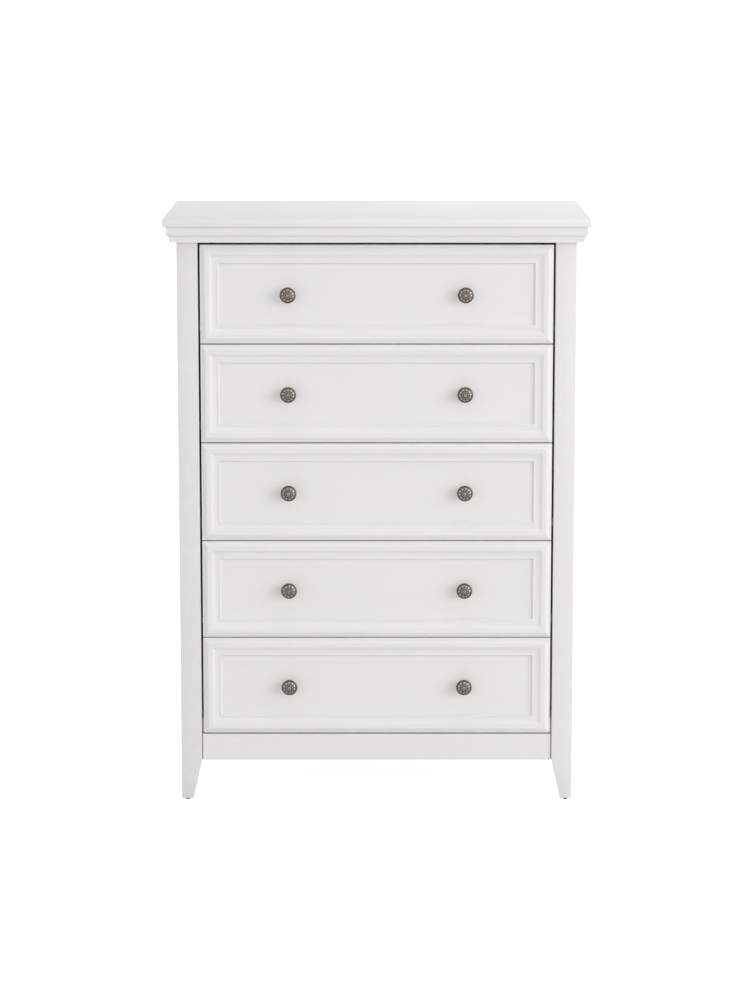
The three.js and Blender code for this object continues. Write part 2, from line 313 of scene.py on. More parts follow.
STEEL_LOOK = {
    "noise": {"lines": (2400.0, 3.0, 0.6), "spangle": (120.0, 2.0, 0.4, 0.8)},
    "ramp": {"spangle": MIDDLE, "gloss": (*MIDDLE, 0.26, 0.42)},
    "bump": {"lines": (0.12, 0.03 * MM)},
    "share": {"rubbed": 0.5},
}
PEWTER_LOOK = {
    "noise": {"mottle": (520.0, 4.0, 0.65), "grime": (190.0, 3.0, 0.6, 0.6)},
    "ramp": {
        "mottle": (*MIDDLE, -0.12, 0.12), "rubbed": (0.30, 0.85), "bright": (0.72, 1.0, 0.0, 0.85),
        "grime": (0.52, 0.75, 0.0, 0.45), "gloss": (*MIDDLE, 0.36, 0.50),
    },
    "bump": {"mottle": (0.25, 0.08 * MM)},
    "share": {"polished": 0.14},
}
NYLON_LOOK = {
    "noise": {"cloud": (160.0, 3.0, 0.5), "mould": (2200.0, 2.0, 0.5)},
    "ramp": {"cloud": MIDDLE, "gloss": (*MIDDLE, 0.38, 0.5)},
    "bump": {"mould": (0.12, 0.03 * MM)},
}
FLOOR_LOOK = {
    "noise": {"fibre": (60.0, 4.0, 0.6)},
    "ramp": {"fibre": MIDDLE, "glow": (0.0, 1.0, 0.0, FLOOR_GLOW), "gloss": (*MIDDLE, 0.86, 0.94)},
    "bump": {"fibre": (0.05, 0.1 * MM)},
}


# ---------------------------------------------------------------------------------------------
# Materials
# ---------------------------------------------------------------------------------------------

class Shader:
    """One material's node tree. Its textures take their numbers from the material's look, by title."""

    def __init__(self, name, look):
        self.look = look
        self.material = bpy.data.materials.new(name)
        self.material.use_nodes = True
        self.tree = self.material.node_tree
        self.tree.nodes.clear()
        self.bsdf = self.add("ShaderNodeBsdfPrincipled")
        self.link(self.bsdf.outputs["BSDF"], self.add("ShaderNodeOutputMaterial").inputs["Surface"])

    def add(self, kind, **settings):
        node = self.tree.nodes.new(kind)
        for key, value in settings.items():
            setattr(node, key, value)
        return node

    def link(self, source, target):
        self.tree.links.new(source, target)

    def feed(self, socket, value):
        """Gives a socket a number, a colour or another node's output."""
        if isinstance(value, (int, float)):
            socket.default_value = value
        elif isinstance(value, tuple):
            socket.default_value = (*value, 1.0)
        else:
            self.link(value, socket)

    def attribute(self, name, output="Fac"):
        return self.add("ShaderNodeAttribute", attribute_name=name).outputs[output]

    def scaled(self, vector, scale):
        mapping = self.add("ShaderNodeMapping")
        mapping.inputs["Scale"].default_value = scale
        self.link(vector, mapping.inputs["Vector"])
        return mapping.outputs["Vector"]

    def coords(self, scale=(1.0, 1.0, 1.0)):
        """Object coordinates, shifted by the piece's own seed and stretched by scale."""
        spread = self.add("ShaderNodeVectorMath", operation="SCALE")
        spread.inputs[0].default_value = SEED_SPREAD
        self.link(self.attribute("seed"), spread.inputs["Scale"])
        shift = self.add("ShaderNodeVectorMath", operation="ADD")
        self.link(self.add("ShaderNodeTexCoord").outputs["Object"], shift.inputs[0])
        self.link(spread.outputs["Vector"], shift.inputs[1])
        return self.scaled(shift.outputs["Vector"], scale)

    def noise(self, vector, title):
        node = self.add("ShaderNodeTexNoise")
        set_sockets(node, zip(NOISE_SOCKETS, self.look["noise"][title]))
        self.link(vector, node.inputs["Vector"])
        return node.outputs["Fac"]

    def ramp(self, value, title):
        node = self.add("ShaderNodeMapRange")
        set_sockets(node, zip(RAMP_SOCKETS, self.look["ramp"][title]))
        self.link(value, node.inputs["Value"])
        return node.outputs["Result"]

    def bump(self, height, title, after=None):
        node = self.add("ShaderNodeBump")
        set_sockets(node, zip(BUMP_SOCKETS, self.look["bump"][title]))
        self.link(height, node.inputs["Height"])
        if after is not None:
            self.link(after, node.inputs["Normal"])
        return node.outputs["Normal"]

    def math(self, operation, a, b):
        node = self.add("ShaderNodeMath", operation=operation)
        self.feed(node.inputs[0], a)
        self.feed(node.inputs[1], b)
        return node.outputs["Value"]

    def share(self, value, title):
        """A value times one of the look's shares."""
        return self.math("MULTIPLY", value, self.look["share"][title])

    def mix(self, factor, a, b):
        node = self.add("ShaderNodeMix", data_type="RGBA")
        for name, value in (("Factor_Float", factor), ("A_Color", a), ("B_Color", b)):
            self.feed(next(s for s in node.inputs if s.identifier == name), value)
        return next(s for s in node.outputs if s.identifier == "Result_Color")

    def finish(self, colour, roughness, normal):
        self.link(colour, self.bsdf.inputs["Base Color"])
        self.link(roughness, self.bsdf.inputs["Roughness"])
        self.link(normal, self.bsdf.inputs["Normal"])
        return self.material


def set_sockets(node, values):
    """Gives a node's input sockets their numbers, from (name, number) pairs."""
    for name, value in values:
        node.inputs[name].default_value = value


def stretched(axis, along):
    """Texture scale for a grain that runs along one axis."""
    return tuple(along if name == axis else 1.0 for name in "xyz")


# Multiplies a colour by a painted shade factor.
def with_painted_shade(colour, painted_shade):
    return tuple(value * painted_shade for value in colour)


def paint(axis, painted_shade=1.0):
    """Satin warm white paint brushed over closed-grain wood, with the grain along one axis."""
    s = Shader(f"paint_{axis}_{round(100 * painted_shade)}", PAINT_LOOK)
    plain = s.coords()
    grain = s.coords(stretched(axis, PAINT_STRETCH))
    clouds = s.noise(plain, "clouds")
    fibres = s.noise(grain, "fibres")
    brush = s.noise(grain, "brush")
    stipple = s.noise(plain, "stipple")
    # Painted shade: both paint colours are multiplied by the shade factor, darker for the left posts and
    # panel.
    tone = s.mix(s.ramp(clouds, "clouds"), with_painted_shade(PAINT_COOL, painted_shade), with_painted_shade(PAINT_WARM, painted_shade))
    tone = s.mix(s.ramp(fibres, "fibres"), tone, PAINT_GRAIN)
    patches = s.ramp(s.noise(plain, "patches"), "patches")
    worn = s.math("MULTIPLY", s.attribute("edge"), patches)
    tone = s.mix(s.share(worn, "rubbed"), tone, PAINT_RUBBED)
    # Painted shade: the paint is darkened in creases and beside lines, by each vertex's crease value.
    shade_in_creases = s.math("MULTIPLY", s.attribute("crease_shade"), s.ramp(clouds, "shade_in_creases"))
    tone = s.mix(shade_in_creases, tone, PAINT_CREASE_SHADE)
    gloss = s.math("ADD", s.ramp(clouds, "gloss"), s.share(worn, "duller"))
    coarse = s.bump(fibres, "fibres")
    fine = s.bump(brush, "brush", coarse)
    set_sockets(s.bsdf, (("IOR", PAINT_IOR),))
    return s.finish(tone, gloss, s.bump(stipple, "stipple", fine))


def bare_wood(axis):
    """Pale sealed softwood: growth rings round a pith beside the board, fibres and darker streaks."""
    s = Shader(f"drawer_wood_{axis}", WOOD_LOOK)
    pith = s.scaled(s.attribute("pith", "Vector"), stretched(axis, WOOD_STRETCH["rings"]))
    fast = s.coords(stretched(axis, WOOD_STRETCH["fibres"]))
    slow = s.coords(stretched(axis, WOOD_STRETCH["depth"]))
    rings = s.add("ShaderNodeTexWave", wave_type="RINGS", rings_direction=axis.upper(), wave_profile="SAW")
    set_sockets(rings, WOOD_RINGS.items())
    s.link(pith, rings.inputs["Vector"])
    fibres = s.noise(fast, "fibres")
    streaks = s.noise(fast, "streaks")
    depth = s.ramp(s.noise(slow, "depth"), "depth")
    late = s.math("MULTIPLY", s.math("POWER", rings.outputs["Fac"], WOOD_LATE_POWER), depth)
    tone = s.mix(late, WOOD_PALE, WOOD_LATE)
    tone = s.mix(s.ramp(fibres, "fibres"), tone, WOOD_FIBRE)
    tone = s.mix(s.ramp(streaks, "streaks"), tone, WOOD_STREAK)
    tone = s.mix(s.share(s.attribute("edge"), "rubbed"), tone, WOOD_PALE)
    coarse = s.bump(rings.outputs["Fac"], "rings")
    return s.finish(tone, s.ramp(fibres, "gloss"), s.bump(fibres, "fibres", coarse))


def hardboard():
    """Smooth-faced brown hardboard with pressed fibre flecks."""
    s = Shader("hardboard", BOARD_LOOK)
    plain = s.coords()
    clouds = s.noise(plain, "clouds")
    flecks = s.noise(plain, "flecks")
    strands = s.noise(s.coords(BOARD_STRETCH), "strands")
    tone = s.mix(s.ramp(clouds, "clouds"), BOARD_DARK, BOARD_LIGHT)
    tone = s.mix(s.ramp(flecks, "flecks"), tone, BOARD_FLECK)
    tone = s.mix(s.ramp(strands, "strands"), tone, BOARD_STRAND)
    return s.finish(tone, s.ramp(flecks, "gloss"), s.bump(flecks, "flecks"))


def zinc_steel():
    """Zinc-plated sheet steel drawn along Y, with faint spangle and rubbed edges."""
    s = Shader("zinc_steel", STEEL_LOOK)
    lines = s.noise(s.coords(stretched("y", STEEL_STRETCH)), "lines")
    spangle = s.noise(s.coords(), "spangle")
    tone = s.mix(s.ramp(spangle, "spangle"), STEEL_DARK, STEEL_LIGHT)
    tone = s.mix(s.share(s.attribute("edge"), "rubbed"), tone, STEEL_BRIGHT)
    set_sockets(s.bsdf, (("Metallic", 1.0),))
    return s.finish(tone, s.ramp(lines, "gloss"), s.bump(lines, "lines"))


def pewter():
    """Antique pewter plate: dark patina low in the relief, rubbed bright metal on its high points."""
    s = Shader("antique_pewter", PEWTER_LOOK)
    plain = s.coords()
    mottle = s.noise(plain, "mottle")
    grime = s.noise(plain, "grime")
    relief = s.attribute("relief")
    rubbed = s.ramp(s.math("ADD", relief, s.ramp(mottle, "mottle")), "rubbed")
    tone = s.mix(rubbed, PEWTER_PATINA, PEWTER_BODY)
    tone = s.mix(s.ramp(relief, "bright"), tone, PEWTER_BRIGHT)
    tone = s.mix(s.ramp(grime, "grime"), tone, PEWTER_PATINA)
    gloss = s.math("SUBTRACT", s.ramp(mottle, "gloss"), s.share(rubbed, "polished"))
    set_sockets(s.bsdf, (("Metallic", 1.0),))
    return s.finish(tone, gloss, s.bump(mottle, "mottle"))


def nylon(name, light, dark):
    """Moulded nylon with a faint mould texture."""
    s = Shader(name, NYLON_LOOK)
    plain = s.coords()
    cloud = s.noise(plain, "cloud")
    mould = s.noise(plain, "mould")
    tone = s.mix(s.ramp(cloud, "cloud"), dark, light)
    return s.finish(tone, s.ramp(cloud, "gloss"), s.bump(mould, "mould"))


def studio_floor():
    """Plain white studio paper with a trace of fibre, lit through as it is seen but not as it lights."""
    s = Shader("studio_floor", FLOOR_LOOK)
    fibre = s.noise(s.coords(), "fibre")
    set_sockets(s.bsdf, (("Emission Color", WHITE), ("Specular IOR Level", 0.0)))
    seen = s.add("ShaderNodeLightPath").outputs["Is Camera Ray"]
    s.link(s.ramp(seen, "glow"), s.bsdf.inputs["Emission Strength"])
    tone = s.mix(s.ramp(fibre, "fibre"), FLOOR_DARK, FLOOR_LIGHT)
    return s.finish(tone, s.ramp(fibre, "gloss"), s.bump(fibre, "fibre"))


# ---------------------------------------------------------------------------------------------
# Mesh building blocks
# ---------------------------------------------------------------------------------------------

def lengths(rings):
    """Millimetre pairs as metres."""
    return [(a * MM, b * MM) for a, b in rings]


def seed_of(name):
    """The same number for the same piece on every run."""
    return random.Random(name).uniform(0.0, SEED_MOST)


def set_values(mesh, title, values):
    """Stores one number per vertex, 0 where the dictionary has none."""
    column = [values.get(index, 0.0) for index in range(len(mesh.vertices))]
    mesh.attributes.new(title, "FLOAT", "POINT").data.foreach_set("value", column)


def set_pith(mesh, name):
    """Stores each vertex's place measured from a tree's pith that runs beside the piece."""
    dice = random.Random(name + "_pith")
    offset = Vector([dice.uniform(*span) for span in (PITH_ACROSS, PITH_ACROSS, PITH_ALONG)])
    points = [vertex.co for vertex in mesh.vertices]
    centre = sum(points, Vector()) / len(points)
    column = [value for point in points for value in point - centre + offset]
    mesh.attributes.new("pith", "FLOAT_VECTOR", "POINT").data.foreach_set("vector", column)


def finished_mesh(bm, name, edge=None, crease_shade=None, relief=None):
    """Turns a bmesh into a mesh with the per-vertex values that the materials read."""
    bmesh.ops.recalc_face_normals(bm, faces=bm.faces[:])
    mesh = bpy.data.meshes.new(name)
    bm.to_mesh(mesh)
    bm.free()
    seed = seed_of(name)
    set_values(mesh, "seed", {index: seed for index in range(len(mesh.vertices))})
    set_values(mesh, "edge", edge or {})
    set_values(mesh, "crease_shade", crease_shade or {})
    set_values(mesh, "relief", relief or {})
    set_pith(mesh, name)
    return mesh


def place(mesh, material, body, node=None, smooth_angle=SMOOTH_MOST):
    """Links a finished mesh as one piece of the chest, in place of a CAD node if it stands for one."""
    mesh.materials.append(material)
    mesh.shade_smooth()
    mesh.set_sharp_from_angle(angle=math.radians(smooth_angle))
    piece = bpy.data.objects.new(mesh.name, mesh)
    bpy.context.scene.collection.objects.link(piece)
    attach(piece, body)
    if node:
        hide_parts(node)


def stitch(bm, rows):
    """Joins neighbouring rows of vertices with faces. A row of one vertex is a pole."""
    for a, b in zip(rows, rows[1:]):
        around = max(len(a), len(b))
        for k in range(around):
            j = (k + 1) % around
            if len(a) == 1:
                bm.faces.new((a[0], b[k], b[j]))
            elif len(b) == 1:
                bm.faces.new((a[j], a[k], b[0]))
            else:
                bm.faces.new((a[j], a[k], b[k], b[j]))


def skin(loops):
    """A closed body through loops of points, capped at both ends. Its vertices keep the loops' order."""
    bm = bmesh.new()
    rows = [[bm.verts.new(point) for point in loop] for loop in loops]
    bm.faces.new(rows[0])
    bm.faces.new(rows[-1])
    stitch(bm, rows)
    bmesh.ops.recalc_face_normals(bm, faces=bm.faces[:])
    return bm


def rectangle(low, high, z):
    return [(low.x, low.y, z), (high.x, low.y, z), (high.x, high.y, z), (low.x, high.y, z)]


def prism(outline, start, end):
    """A closed outline of (x, z) carried along Y."""
    return skin([[(x, y, z) for x, z in outline] for y in (start, end)])


def rounded(bm, name, radius, strips=ROUND_STRIPS):
    """Rounds the sharp edges of a body, marks the rounded strips as worn, and returns the mesh."""
    sharp = [edge for edge in bm.edges if edge.calc_face_angle(0.0) > SHARP_ANGLE]
    result = bmesh.ops.bevel(
        bm, geom=sharp, offset=radius, offset_type="OFFSET", segments=strips, profile=0.5,
        affect="EDGES", clamp_overlap=True,
    )
    bm.verts.index_update()
    edge = {vertex.index: 1.0 for face in result["faces"] for vertex in face.verts}
    return finished_mesh(bm, name, edge=edge)


def ring_points(radius, along, around):
    """Points round the Z axis, or one point where the radius is nothing."""
    if radius == 0.0:
        return [Vector((0.0, 0.0, along))]
    angles = [math.tau * k / around for k in range(around)]
    return [Vector((radius * math.cos(angle), radius * math.sin(angle), along)) for angle in angles]


def add_lathe(bm, rings, foot, axis, around):
    """Adds a closed turned solid: rings are (radius, distance along the axis) from the foot."""
    turn = Vector(axis).to_track_quat("Z", "X").to_matrix()
    rows = []
    for radius, along in rings:
        points = ring_points(radius, along, around)
        rows.append([bm.verts.new(Vector(foot) + turn @ point) for point in points])
    stitch(bm, rows)


def arc(centre, radii, start, end, steps):
    """Points along an elliptical arc, angles in degrees."""
    points = []
    for k in range(steps + 1):
        angle = math.radians(start + (end - start) * k / steps)
        points.append((centre[0] + radii[0] * math.cos(angle), centre[1] + radii[1] * math.sin(angle)))
    return points


def curve(start, end, steps, height):
    """Points from start to end whose height is a function of the way gone, 0 to 1."""
    return [(start + (end - start) * k / steps, height(k / steps)) for k in range(steps + 1)]


# ---------------------------------------------------------------------------------------------
# Carcass
# ---------------------------------------------------------------------------------------------

def rounded_board(node, material, radius=BOARD_ROUND, body="carcass"):
    """A board that fills its node's box, with eased edges."""
    low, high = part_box(node)
    bm = skin([rectangle(low, high, low.z), rectangle(low, high, high.z)])
    place(rounded(bm, node + "_eased", radius), material, body, node)


def crown_profile():
    """The crown's outline as (out, height) in metres, from the back round to the back."""
    low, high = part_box("crown_moulding_front")
    tall = (high.z - low.z) / MM
    below = arc(TORUS_CENTRE, (TORUS_OUT, TORUS_BELOW), TORUS_START, 0.0, TORUS_STEPS)
    above = arc(TORUS_CENTRE, (TORUS_OUT, TORUS_ABOVE), 0.0, TORUS_END, TORUS_STEPS)
    end = (above[-1][0] - TORUS_QUIRK, tall)
    points = [(0.0, 0.0), *CROWN_FILLET, *below, *above[1:], end, (0.0, tall)]
    return [(out, low.z + up) for out, up in lengths(points)]


def build_crown_run(node, place_point, material):
    """One run of the crown. place_point turns (out, height, end) into a position; end is 0 or 1."""
    profile = crown_profile()
    bm = skin([[place_point(out, z, end) for out, z in profile] for end in (0, 1)])
    # Painted shade in the valley where the fillet meets the torus.
    first, last = (len(CROWN_FILLET) + step for step in CROWN_CREASE_SHADE_POINTS)
    points = [end * len(profile) + index for index in range(first, last) for end in (0, 1)]
    crease_shade = dict.fromkeys(points, CROWN_CREASE_SHADE)
    place(finished_mesh(bm, node + "_run", crease_shade=crease_shade), material, "carcass", node)


def build_crown(materials):
    post_low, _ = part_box("front_post_left")
    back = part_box("crown_moulding_left")[1].y
    half, front = -post_low.x, post_low.y

    def along_front(out, z, end):
        return (half + out) * (1 if end else -1), front - out, z

    def along_side(side):
        return lambda out, z, end: (side * (half + out), back if end else front - out, z)

    build_crown_run("crown_moulding_front", along_front, materials["paint_x"])
    for name, side in SIDES:
        build_crown_run(f"crown_moulding_{name}", along_side(side), materials["paint_y"])


def build_post(node, side, rear, material):
    """One post, tapered on its two inner faces below the apron. Returns where its glide stands."""
    low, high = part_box(node)
    taper_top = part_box("front_apron")[0].z
    outer_x, inner_x = (low.x, high.x) if side < 0 else (high.x, low.x)
    outer_y, inner_y = (high.y, low.y) if rear else (low.y, high.y)
    foot_x = outer_x - side * FOOT_END
    foot_y = outer_y + (-FOOT_END if rear else FOOT_END)
    stations = ((foot_x, foot_y, GLIDE_HEIGHT), (inner_x, inner_y, taper_top), (inner_x, inner_y, high.z))
    loops = [[(outer_x, outer_y, z), (x, outer_y, z), (x, y, z), (outer_x, y, z)] for x, y, z in stations]
    mesh = rounded(skin(loops), node + "_tapered", POST_ROUND)
    place(mesh, material, "carcass", node)
    return (outer_x + foot_x) / 2, (outer_y + foot_y) / 2, 0.0


def build_posts(materials):
    """The four posts, each with a domed glide nailed under its foot."""
    for name, side in SIDES:
        for row in ("front", "rear"):
            foot = build_post(f"{row}_post_{name}", side, row == "rear", materials[f"paint_{name}"])
            bm = bmesh.new()
            add_lathe(bm, lengths(GLIDE_RINGS), foot, (0, 0, 1), GLIDE_AROUND)
            place(finished_mesh(bm, f"{row}_glide_{name}"), materials["glide"], "carcass")


def build_apron(materials):
    """The bottom apron: narrow open joints beside the posts and a chamfer along its lower edge."""
    low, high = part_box("front_apron")
    joint_y = low.y + APRON_JOINT_DEPTH
    left, right = low.x + APRON_JOINT_WIDTH, high.x - APRON_JOINT_WIDTH
    loops = []
    for z, inward in ((low.z, APRON_CHAMFER_IN), (low.z + APRON_CHAMFER_UP, 0.0), (high.z, 0.0)):
        loops.append([
            (low.x, high.y, z), (low.x, joint_y, z), (left, joint_y, z), (left, low.y + inward, z),
            (right, low.y + inward, z), (right, joint_y, z), (high.x, joint_y, z), (high.x, high.y, z),
        ])
    mesh = rounded(skin(loops), "front_apron_chamfered", APRON_ROUND, FINE_STRIPS)
    place(mesh, materials["paint_x"], "carcass", "front_apron", SMOOTH_APRON)


def build_fixed_boards(materials):
    rounded_board("top_panel", materials["paint_x"], SLAB_ROUND)
    for name, _ in SIDES:
        rounded_board(f"side_panel_{name}", materials[f"paint_{name}"])
    for node in ("front_top_rail", "rear_top_rail", "rear_bottom_rail"):
        rounded_board(node, materials["paint_x"])
    rounded_board("back_panel", materials["hardboard"], SHEET_ROUND)


def build_back_pins(materials):
    """Round-headed pins along the top and bottom of the back panel."""
    low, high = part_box("back_panel")
    span = high.x - low.x - 2 * BACK_PIN_INSET
    count = round(span / BACK_PIN_PITCH)
    bm = bmesh.new()
    for z in (low.z + BACK_PIN_INSET, high.z - BACK_PIN_INSET):
        for k in range(count + 1):
            foot = (low.x + BACK_PIN_INSET + span * k / count, high.y, z)
            add_lathe(bm, lengths(BACK_PIN), foot, (0, 1, 0), BACK_PIN_AROUND)
    place(finished_mesh(bm, "back_panel_pins"), materials["steel"], "carcass")


# ---------------------------------------------------------------------------------------------
# Drawer fronts and knobs
# ---------------------------------------------------------------------------------------------

def front_profile():
    """Drawer front moulding from its edge in to the panel: (inset, out) in metres from the rim plane."""
    crest = CREST_OUT - CREST_LOW
    fall = SHOULDER_OUT - COVE_TOP
    cove = COVE_TOP - COVE_FLOOR
    middle, half = (BEAD_START + BEAD_END) / 2, (BEAD_END - BEAD_START) / 2
    bead = arc((middle, COVE_FLOOR), (half, BEAD_OUT - COVE_FLOOR), *BEAD_ARC, BEAD_STEPS)
    bead_foot = bead[-1][1]
    drop = PANEL_DROP + bead_foot

    def slope_out(way):
        return CREST_LOW * way * (1 + SLOPE_BULGE * (1 - way))

    def crest_out(way):
        return CREST_LOW + crest * math.sin(way * math.pi)

    def shoulder_out(way):
        return SHOULDER_OUT - fall * way ** SHOULDER_CURVE

    def cove_out(way):
        return COVE_FLOOR + cove * (1 - way) ** COVE_CURVE

    def riser_out(way):
        return bead_foot - drop * (1 - (1 - way) ** RISER_CURVE)

    points = arc((EDGE_RADIUS, -EDGE_RADIUS), (EDGE_RADIUS, EDGE_RADIUS), 180.0, 90.0, EDGE_STEPS)
    points += curve(RIM_END, SLOPE_END, SLOPE_STEPS, slope_out)
    points += curve(CREST_START, CREST_END, CREST_STEPS, crest_out)
    points.append((GROOVE_IN, GROOVE_OUT))
    points += curve(SHOULDER_START, COVE_START, SHOULDER_STEPS, shoulder_out)
    points += curve(COVE_START, COVE_END, COVE_STEPS, cove_out)[1:]
    points += bead
    points += curve(BEAD_END, RISER_END, RISER_STEPS, riser_out)[1:]
    return lengths(points)


def front_wear_and_shade(inset):
    """How worn a line of the moulding is, and how much painted shade it takes, from 0 to 1."""
    inset = inset / MM
    worn = 1.0 if inset < EDGE_RADIUS else max(0.0, 1.0 - abs(inset - CREST_MIDDLE) / CREST_WORN)
    # Painted shade beside the riser, and along the rim and groove lines.
    reach, shade_amount = RISER_CREASE_SHADE
    if inset > RISER_END - reach:
        return worn, shade_amount
    reach, shade_amount = LINE_CREASE_SHADE
    return worn, shade_amount if min(abs(inset - RIM_END), abs(inset - GROOVE_IN)) < reach else 0.0


def build_front(number, materials):
    node = f"drawer_{number}_front"
    low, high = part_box(node)
    rim = low.y + CREST_OUT * MM
    stations = [(BOARD_ROUND, high.y), (0.0, high.y - BOARD_ROUND)]
    stations += [(inset, rim - out) for inset, out in front_profile()]
    loops = []
    for inset, y in stations:
        left, right, bottom, top = low.x + inset, high.x - inset, low.z + inset, high.z - inset
        loops.append([(left, y, bottom), (right, y, bottom), (right, y, top), (left, y, top)])
    bm = skin(loops)
    bm.verts.ensure_lookup_table()
    edge, crease_shade = {}, {}
    # Each loop takes the wear and the painted shade of its line of the moulding.
    for index in range(LOOP_POINTS * len(stations)):
        edge[index], crease_shade[index] = front_wear_and_shade(stations[index // LOOP_POINTS][0])
    panel = next(face for face in bm.faces if set(face.verts) == set(bm.verts[-LOOP_POINTS:]))
    bmesh.ops.inset_individual(bm, faces=[panel], thickness=PANEL_SKIN * MM, depth=0.0)
    mesh = finished_mesh(bm, node + "_moulded", edge=edge, crease_shade=crease_shade)
    place(mesh, materials["paint_x"], f"drawer_{number}", node, SMOOTH_FRONT)


def knob_height(radius):
    """How far the knob's face stands out from the panel, in millimetres, without its relief."""
    return KNOB_CROWN - KNOB_FALL * (radius / KNOB_RADIUS) ** KNOB_BEND


def arch(radius, start, end, power):
    """A hump between two radii, 0 at both and 1 between them."""
    return max(0.0, math.sin((radius - start) / (end - start) * math.pi)) ** power


def knob_relief(radius, angle):
    """The cast relief at a point of the face: its lift in millimetres and its brightness."""
    if radius < KNOB_PIT["end"]:
        return KNOB_PIT["lift"], KNOB_PIT["bright"]
    if radius < KNOB_BOSS["end"]:
        boss = arch(radius, KNOB_PIT["end"], KNOB_BOSS["end"], KNOB_BOSS["power"])
        return KNOB_BOSS["lift"] * boss, KNOB_BOSS["bright"] * boss
    for ring in KNOB_LOBES:
        if ring["start"] < radius < ring["end"]:
            lobe = abs(math.cos(angle * ring["count"] / 2 + ring["phase"])) ** ring["power"]
            lobe *= arch(radius, ring["start"], ring["end"], ring["power"])
            groove, dull = KNOB_GROOVE
            return groove + (ring["lift"] - groove) * lobe, dull + (ring["bright"] - dull) * lobe
    if radius < KNOB_RIM["start"]:
        return KNOB_GROOVE
    across = min(1.0, (radius - KNOB_RIM["start"]) / KNOB_RIM["width"])
    rim = math.sin(across * math.pi * KNOB_RIM["arch"])
    return KNOB_RIM["lift"] * rim, KNOB_RIM["bright"] * rim


def add_knob_ring(bm, radius, height_at):
    """Adds one ring of the knob and returns its vertices and their brightness."""
    row, values = [], []
    for point in ring_points(radius, 0.0, KNOB_AROUND):
        height, bright = height_at(radius, math.atan2(point.y, point.x))
        row.append(bm.verts.new((point.x * MM, point.y * MM, height * MM)))
        values.append(bright)
    return row, values


def knob_mesh():
    """A round cast knob on its stem, pointing along +Z from a base at z = 0."""
    def face_height(radius, angle):
        lift, bright = knob_relief(radius, angle)
        return knob_height(radius) + lift, bright

    bm = bmesh.new()
    rings = [add_knob_ring(bm, radius, lambda *_: (up, STEM_BRIGHT)) for radius, up in KNOB_STEM]
    count = int((KNOB_RADIUS - KNOB_CENTRE) / KNOB_STEP)
    radii = [KNOB_RADIUS - KNOB_FIRST - KNOB_STEP * k for k in range(count)] + [0.0]
    rings += [add_knob_ring(bm, radius, face_height) for radius in radii]
    stitch(bm, [row for row, _ in rings])
    relief = [bright for _, values in rings for bright in values]
    return finished_mesh(bm, "knob_cast", relief=dict(enumerate(relief)))


def build_knobs(materials):
    master = knob_mesh()
    point_out = Matrix.Rotation(math.radians(90.0), 4, "X")
    for number in DRAWERS:
        for name, _ in SIDES:
            node = f"drawer_{number}_knob_{name}"
            low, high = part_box(node)
            base = Matrix.Translation(((low.x + high.x) / 2, high.y, (low.z + high.z) / 2))
            spin = Matrix.Rotation(random.Random(node).uniform(0.0, math.tau), 4, "Z")
            mesh = master.copy()
            mesh.name = node + "_cast"
            mesh.transform(base @ point_out @ spin)
            mesh.attributes["seed"].data.foreach_set("value", [seed_of(node)] * len(mesh.vertices))
            place(mesh, materials["pewter"], f"drawer_{number}", node, SMOOTH_KNOB)
    bpy.data.meshes.remove(master)


def build_knob_screws(number, materials):
    """The heads of the knob screws, on the back of the drawer front."""
    _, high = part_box(f"drawer_{number}_front")
    bm = bmesh.new()
    for name, _ in SIDES:
        knob_low, knob_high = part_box(f"drawer_{number}_knob_{name}")
        centre = ((knob_low.x + knob_high.x) / 2, high.y, (knob_low.z + knob_high.z) / 2)
        add_lathe(bm, lengths(KNOB_SCREW), centre, (0, 1, 0), KNOB_SCREW_AROUND)
    mesh = finished_mesh(bm, f"drawer_{number}_knob_screws")
    place(mesh, materials["steel"], f"drawer_{number}")


# ---------------------------------------------------------------------------------------------
# Drawer boxes and slides
# ---------------------------------------------------------------------------------------------

def build_box_side(number, name, side, materials):
    """A drawer side, grooved for the bottom."""
    body = f"drawer_{number}"
    node = f"{body}_side_{name}"
    low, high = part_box(node)
    bottom_low, bottom_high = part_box(f"{body}_bottom")
    outer, inner = (low.x, high.x) if side < 0 else (high.x, low.x)
    deep = inner + side * GROOVE_DEPTH
    groove_top = bottom_high.z + GROOVE_CLEARANCE
    outline = [
        (outer, low.z), (inner, low.z), (inner, bottom_low.z), (deep, bottom_low.z),
        (deep, groove_top), (inner, groove_top), (inner, high.z), (outer, high.z),
    ]
    mesh = rounded(prism(outline, low.y, high.y), node + "_board", BOX_ROUND, FINE_STRIPS)
    place(mesh, materials["wood_y"], body, node)


def build_box(number, materials):
    body = f"drawer_{number}"
    for name, side in SIDES:
        build_box_side(number, name, side, materials)
    rounded_board(f"{body}_back", materials["wood_x"], BOARD_ROUND, body)
    rounded_board(f"{body}_bottom", materials["hardboard"], SHEET_ROUND, body)


def build_roller(name, body, side, start, size, materials):
    """A nylon roller with a rounded tread and a shallow dish round its pin."""
    radius, width = size["radius"], size["width"]
    half = [
        (0.0, ROLLER_DISH), (radius * ROLLER_DISH_FLOOR, ROLLER_DISH), (radius * ROLLER_DISH_RIM, 0.0),
        (radius - ROLLER_SHOULDER, 0.0), (radius, ROLLER_SHOULDER),
    ]
    rings = half + [(ring, width - along) for ring, along in reversed(half)]
    bm = bmesh.new()
    add_lathe(bm, rings, start, (side, 0, 0), ROLLER_AROUND)
    place(finished_mesh(bm, name), materials["nylon"], body)


def build_runner_screws(name, body, side, spots, materials):
    """Pan-headed screws in a row along a runner's face."""
    bm = bmesh.new()
    for spot in spots:
        add_lathe(bm, lengths(RUNNER_SCREW), spot, (side, 0, 0), RUNNER_SCREW_AROUND)
    place(finished_mesh(bm, name), materials["steel"], body)


